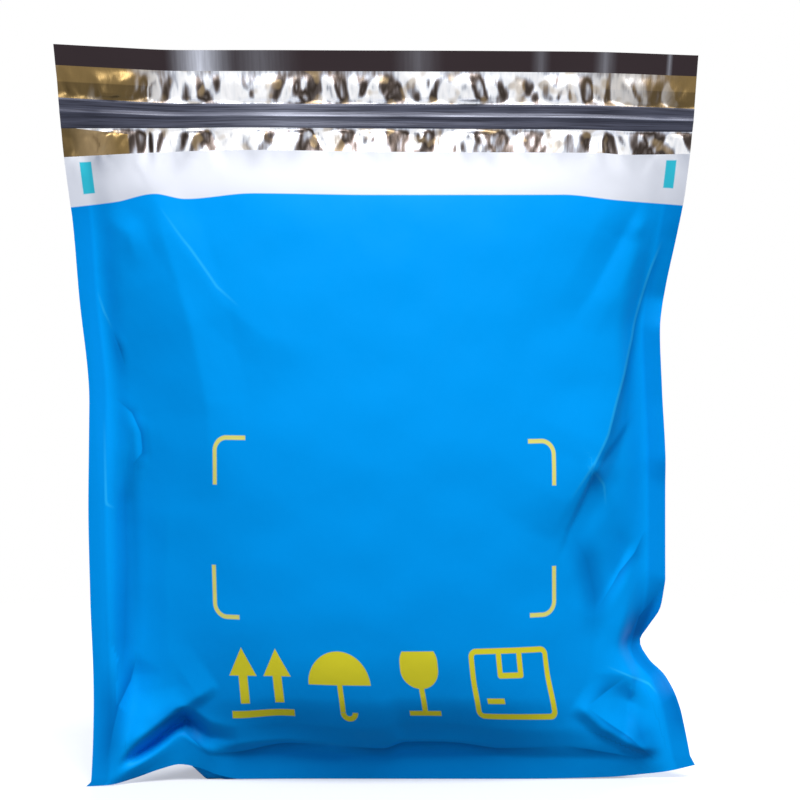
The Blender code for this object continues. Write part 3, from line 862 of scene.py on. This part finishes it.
sign = vectors(tree, "SUBTRACT", flat, SIGN_PLACE)
height = axes(tree, sign)["Y"]
heads = [
    use_group(
        tree, arrow_head,
        {"Flat": sign, "Foot": (across_sign, 4.0, 0.0), "Half Width": 8.0, "Height": 15.0},
    )
    for across_sign in (-85.0, -65.0)
]
up_arrows = nearest(
    *heads,
    box(sign, (-85.0, -3.0), (2.6, 8.0)),
    box(sign, (-65.0, -3.0), (2.6, 8.0)),
    box(sign, (-75.0, -17.0), (18.0, 2.0)),
)
disc = box(sign, (-29.0, 0.0), (18.0, 18.0), 18.0)
canopy = maths(tree, "MAXIMUM", disc, maths(tree, "MULTIPLY", height, -1.0))
ring = outline(box(sign, (-25.5, -15.0), (3.5, 3.5), 3.5), SIGN_STROKE)
hook = maths(tree, "MAXIMUM", ring, maths(tree, "ADD", height, 15.0))
umbrella = nearest(canopy, hook, box(sign, (-29.0, -7.0), (SIGN_STROKE / 2, 8.0)))
rounded = box(sign, (18.0, 10.0), (11.0, 13.0), 11.0)
bowl = maths(tree, "MAXIMUM", rounded, maths(tree, "SUBTRACT", height, 18.0))
stem = box(sign, (18.0, -9.0), (SIGN_STROKE / 2, 8.0))
goblet = nearest(bowl, stem, box(sign, (18.0, -17.5), (9.0, 1.5)))
parcel = nearest(
    outline(box(sign, (71.0, 0.0), (22.0, 17.5), 3.0), SIGN_STROKE),
    outline(box(sign, (71.0, 11.0), (6.0, 6.5)), SIGN_STROKE),
    box(sign, (60.0, -9.0), (5.0, SIGN_STROKE / 2)),
)
colour = printed(nearest(up_arrows, umbrella, goblet, parcel), SIGN_YELLOW, colour)
patches = nearest(box(flat, (-158.8, 321.3), (3.2, 7.2)), box(flat, (160.3, 322.3), (2.8, 6.2)))
colour = printed(patches, TEAL, colour)
grain = use_group(tree, film_grain, {"Flat": flat, "Cell": (14.0, 18.0, 1.0)})
feed(tree, shader.inputs["Base Color"], colour)
feed(tree, shader.inputs["Roughness"], ramp(tree, grain, 0.3, 0.7, 0.36, 0.46))
feed(tree, shader.inputs["Normal"], bump(tree, grain, 0.25))
shader.inputs["Specular IOR Level"].default_value = 0.03
pouch_mesh.materials.append(film)

# The foil: bare aluminium laminate beside the zip, drawn into puckers. Its colour is a painted
# reflection:
# a tone from dark to pale that follows the way that a facet faces, as if it mirrored a dark room and a
# warm one in turn, with warm patches; at both ends, where it lies flat, the painted reflection is gold.
FOIL_REFLECTION_TONES = (
    (0.0, (0.045, 0.035, 0.03, 1)), (0.22, (0.13, 0.11, 0.105, 1)), (0.42, (0.27, 0.26, 0.28, 1)),
    (0.6, (0.42, 0.44, 0.50, 1)), (0.8, (0.74, 0.76, 0.80, 1)), (1.0, (0.86, 0.86, 0.88, 1)),
)
FOIL_GOLD_REFLECTION = (0.20, 0.135, 0.055, 1)
FOIL_WARM_REFLECTION = (0.36, 0.26, 0.14, 1)
FOIL_BROWN_REFLECTION = (0.12, 0.082, 0.035, 1)
GOLD_LINE = STANDING_HEIGHT - 19.5
CONE_TIP = -162.0
CONE_END = -134.0
CONE_OPENING = 9.0

# Shared effect of painted reflection on facets: the sine of how a facet faces, with some wander.
facet_reflection, given, result = effect_group(
    "facet_reflection",
    {"Facing": (0.0, -1.0, 0.0), "Grain": 0.5, "Sideways": 6.0, "Upward": 1.0, "Wander": 4.0},
    "Tone",
)
facing = axes(facet_reflection, given["Facing"])
phase = maths(facet_reflection, "MULTIPLY", facing["X"], given["Sideways"])
phase = maths(facet_reflection, "ADD", phase, maths(facet_reflection, "MULTIPLY", facing["Z"], given["Upward"]))
phase = maths(facet_reflection, "ADD", phase, maths(facet_reflection, "MULTIPLY", given["Grain"], given["Wander"]))
tone = maths(facet_reflection, "MULTIPLY_ADD", maths(facet_reflection, "SINE", phase), 0.5, 0.5)
feed(facet_reflection, result, tone)

foil, tree, shader = new_material("foil")
flat = flat_place(tree)
sides = axes(tree, flat)
facing = tree.nodes.new("ShaderNodeTexCoord").outputs["Normal"]
drift = use_group(tree, film_grain, {"Flat": flat, "Cell": (16.0, 60.0, 1.0), "Fineness": 0.0})
upright = use_group(tree, film_grain, {"Flat": flat, "Cell": (2.4, 18.0, 1.0), "Fineness": 2.0})
grain = maths(tree, "MULTIPLY_ADD", upright, 0.55, maths(tree, "MULTIPLY", drift, 0.8))
tone = use_group(tree, facet_reflection, {"Facing": facing, "Grain": grain})
reflection_tones = tree.nodes.new("ShaderNodeValToRGB")
while len(reflection_tones.color_ramp.elements) < len(FOIL_REFLECTION_TONES):
    reflection_tones.color_ramp.elements.new(0.5)
for stop, (place, tone_colour) in zip(reflection_tones.color_ramp.elements, FOIL_REFLECTION_TONES):
    stop.position = place
    stop.color = tone_colour
feed(tree, reflection_tones.inputs[0], tone)
# Warm patches of painted reflection.
warm_reflection_noise = use_group(tree, film_grain, {"Flat": flat, "Cell": (9.0, 11.0, 1.0), "Fineness": 1.0})
warm_reflected = blend(tree, ramp(tree, warm_reflection_noise, 0.56, 0.66, 0.0, 0.5), reflection_tones.outputs[0], FOIL_WARM_REFLECTION)

# At both flat ends a painted gold reflection, brown below the gold line.
gold_reflection = blend(tree, ramp(tree, sides["Y"], GOLD_LINE - 0.3, GOLD_LINE + 0.3), FOIL_BROWN_REFLECTION, FOIL_GOLD_REFLECTION)
from_middle = either_side(tree, sides["X"])
left_end = ramp(tree, from_middle, -110.0, -134.0)
right_end = ramp(tree, from_middle, 100.0, 165.0)
above_zip = maths(tree, "GREATER_THAN", sides["Y"], STANDING_HEIGHT - ZIP_TOP)
flat_end = maths(tree, "MULTIPLY", maths(tree, "MAXIMUM", left_end, right_end), above_zip)
flat_end = maths(tree, "MULTIPLY", flat_end, ramp(tree, drift, 0.2, 0.45, 0.6, 1.0))

# Under the zip's left end the foil bends into one smooth cone, whose painted reflection is brown at its
# edge and gold inside.
depth = maths(tree, "SUBTRACT", STANDING_HEIGHT - ZIP_TOP - ZIP_HEIGHT, sides["Y"])
cone_edge = maths(tree, "MINIMUM", maths(tree, "MULTIPLY_ADD", depth, CONE_OPENING, CONE_TIP), CONE_END)
cone = ramp(tree, maths(tree, "SUBTRACT", from_middle, cone_edge), 0.5, -0.5)
cone = maths(tree, "MULTIPLY", cone, maths(tree, "GREATER_THAN", depth, 0.0))
cone_reflection = blend(tree, ramp(tree, from_middle, -166.0, -152.0), FOIL_BROWN_REFLECTION, FOIL_WARM_REFLECTION)
cone_reflection = blend(tree, ramp(tree, from_middle, -152.0, -140.0), cone_reflection, FOIL_GOLD_REFLECTION)

colour = blend(tree, cone, blend(tree, flat_end, warm_reflected, gold_reflection), cone_reflection)
feed(tree, shader.inputs["Base Color"], colour)
shader.inputs["Metallic"].default_value = 1.0
shader.inputs["Roughness"].default_value = 0.4
crinkle = use_group(tree, film_grain, {"Flat": flat, "Cell": (3.0, 9.0, 1.0)})
feed(tree, shader.inputs["Normal"], bump(tree, crinkle, 0.3))
pouch_mesh.materials.append(foil)

# The zip's plastic: two press-to-close profiles welded behind dark film, drawn lengthwise, so it shows
# fine streaks along its length. A painted highlight lies along the line where the profiles meet and over
# one stretch of the zip.
ZIP_DARK = (0.022, 0.023, 0.036, 1)
ZIP_PALE = (0.105, 0.11, 0.15, 1)
ZIP_SHINE = (0.30, 0.31, 0.37, 1)
ZIP_MIDDLE = STANDING_HEIGHT - ZIP_TOP - ZIP_HEIGHT / 2

zip_plastic, tree, shader = new_material("zip_plastic")
flat = flat_place(tree)
streaks = use_group(tree, film_grain, {"Flat": flat, "Cell": (34.0, 0.9, 1.0), "Fineness": 3.0})
stretches = use_group(tree, film_grain, {"Flat": flat, "Cell": (60.0, 5.0, 1.0)})
colour = blend(tree, ramp(tree, streaks, 0.3, 0.75), ZIP_DARK, ZIP_PALE)
painted_zip_highlight = use_group(
    tree, sheen_band, {"Flat": flat, "Middle": -50.0, "Reach": 60.0, "Strength": 0.7}
)
painted_zip_highlight = maths(tree, "MULTIPLY", painted_zip_highlight, ramp(tree, streaks, 0.35, 0.65, 0.3, 1.0))
colour = blend(tree, painted_zip_highlight, colour, ZIP_SHINE)
# A painted highlight along the line where the profiles meet.
off_line = maths(tree, "ABSOLUTE", maths(tree, "SUBTRACT", axes(tree, flat)["Y"], ZIP_MIDDLE + 0.4))
line = maths(tree, "MULTIPLY", ramp(tree, off_line, 0.2, 0.6, 1.0, 0.0), ramp(tree, stretches, 0.35, 0.6))
feed(tree, shader.inputs["Base Color"], blend(tree, line, colour, ZIP_SHINE))
feed(tree, shader.inputs["Normal"], bump(tree, streaks, 0.12))
shader.inputs["Metallic"].default_value = 0.2
shader.inputs["Roughness"].default_value = 0.35
shader.inputs["Specular IOR Level"].default_value = 0.2
pouch_mesh.materials.append(zip_plastic)

# The head's strip: dark brown ink over the foil, pressed flat by the head weld. Soft upright sheens are
# painted into its colour, painted highlights where the slack head bends to the light.
STRIP_BROWN = (0.040, 0.027, 0.028, 1)
STRIP_SHEEN = (0.9, 0.9, 0.92, 1)
SHEENS = (
    (-93.0, 19.0, 1.0), (-62.0, 24.0, 0.16), (22.0, 15.0, 0.14), (87.0, 6.0, 0.16), (121.0, 7.0, 0.22),
    (155.0, 2.0, 0.35),
)

head_strip, tree, shader = new_material("head_strip")
flat = flat_place(tree)
upright = use_group(tree, film_grain, {"Flat": flat, "Cell": (1.6, 30.0, 1.0), "Fineness": 3.0})
# The sheens are painted highlights.
sheen = 0.0
for middle, reach, strength in SHEENS:
    band = use_group(
        tree, sheen_band, {"Flat": flat, "Middle": middle, "Reach": reach, "Strength": strength}
    )
    sheen = maths(tree, "ADD", band, sheen)
sheen = maths(tree, "MULTIPLY", sheen, ramp(tree, upright, 0.3, 0.7, 0.7, 1.0))
feed(tree, shader.inputs["Base Color"], blend(tree, sheen, STRIP_BROWN, STRIP_SHEEN))
shader.inputs["Roughness"].default_value = 0.4
shader.inputs["Specular IOR Level"].default_value = 0.1
pouch_mesh.materials.append(head_strip)

# The studio floor: a round sheet of pale paper that goes over into the white of the background at its
# rim. Its own glow makes up what its tone takes off, so that it shows white and still keeps the bag's
# shadow.
FLOOR_RADIUS = 1.6
FLOOR_TONE = 0.6
FLOOR_BOUNCE = 0.22

floor_mesh = bpy.data.meshes.new("studio_floor")
turn = np.linspace(0, 2 * np.pi, 96, endpoint=False)
floor_rim = np.stack([FLOOR_RADIUS * np.cos(turn), FLOOR_RADIUS * np.sin(turn), 0 * turn], axis=-1)
floor_mesh.from_pydata(floor_rim, [], [list(range(len(turn)))])
floor = bpy.data.objects.new("studio_floor", floor_mesh)
bpy.context.scene.collection.objects.link(floor)


def shown_background(tree):
    """1 for rays that show the background: the camera's, mirrored ones and ones through clear matter."""
    rays = tree.nodes.new("ShaderNodeLightPath").outputs
    shown = maths(tree, "MAXIMUM", rays["Is Camera Ray"], rays["Is Glossy Ray"])
    return maths(tree, "MAXIMUM", shown, rays["Is Transmission Ray"])


paper, tree, shader = new_material("floor_paper")
shader.inputs["Roughness"].default_value = 0.9
shader.inputs["Specular IOR Level"].default_value = 0.0
reach = vectors(tree, "LENGTH", tree.nodes.new("ShaderNodeTexCoord").outputs["Object"])
fade = ramp(tree, reach, 0.2, 0.7, 1.0, 0.0)
shown = shown_background(tree)
bounce_tone = (FLOOR_BOUNCE, FLOOR_BOUNCE, FLOOR_BOUNCE, 1)
tone = blend(tree, shown, bounce_tone, (FLOOR_TONE, FLOOR_TONE, FLOOR_TONE, 1))
rest_of_white = (1 - FLOOR_TONE, 1 - FLOOR_TONE, 1 - FLOOR_TONE, 1)
feed(tree, shader.inputs["Base Color"], blend(tree, fade, (0, 0, 0, 1), tone))
feed(tree, shader.inputs["Emission Color"], blend(tree, fade, (1, 1, 1, 1), rest_of_white))
feed(tree, shader.inputs["Emission Strength"], shown)
floor_mesh.materials.append(paper)

# The studio's air: faint light from all round, a little blue, and the plain white of the background.
AIR_LIGHT = (0.17, 0.22, 0.37, 1)

world = bpy.data.worlds.new("studio_air")
bpy.context.scene.world = world
world.use_nodes = True
tree = world.node_tree
sky = tree.nodes["Background"]
feed(tree, sky.inputs["Color"], blend(tree, shown_background(tree), AIR_LIGHT, (1, 1, 1, 1)))
sky.inputs["Strength"].default_value = 1.0


# The lamps: a large softbox high up in front, and a smaller one behind for the shadow's edge.
BAG_MIDDLE = Vector((0.0, 0.0, 0.19))


def softbox(name, place, size, power):
    """A square soft lamp at a place, turned to face the bag's middle."""
    lamp = bpy.data.lights.new(name, "AREA")
    lamp.shape = "SQUARE"
    lamp.size = size
    lamp.energy = power
    holder = bpy.data.objects.new(name, lamp)
    holder.location = place
    holder.rotation_euler = (BAG_MIDDLE - Vector(place)).to_track_quat("-Z", "Y").to_euler()
    bpy.context.scene.collection.objects.link(holder)


softbox("key_lamp", place=(0.35, -1.6, 2.9), size=1.6, power=110)
softbox("back_lamp", place=(0.3, 1.3, 1.6), size=1.2, power=30)

# The camera: a photographer's, on a stand 1.75 m away, with its eye 4.5 degrees above level.
CAMERA_AWAY = 1.75
CAMERA_RISE = np.radians(4.5)
AIM = Vector((0.0127, 0.0, 0.1994))
LENS_LENGTH = 148.3
SENSOR_WIDTH = 36.0

lens = bpy.data.cameras.new("photo_camera")
lens.sensor_width = SENSOR_WIDTH
lens.lens = LENS_LENGTH
camera = bpy.data.objects.new("photo_camera", lens)
camera.location = AIM + CAMERA_AWAY * Vector((0, -np.cos(CAMERA_RISE), np.sin(CAMERA_RISE)))
camera.rotation_euler = (AIM - camera.location).to_track_quat("-Z", "Y").to_euler()
bpy.context.scene.collection.objects.link(camera)
bpy.context.scene.camera = camera
bpy.context.scene.view_settings.view_transform = "Standard"
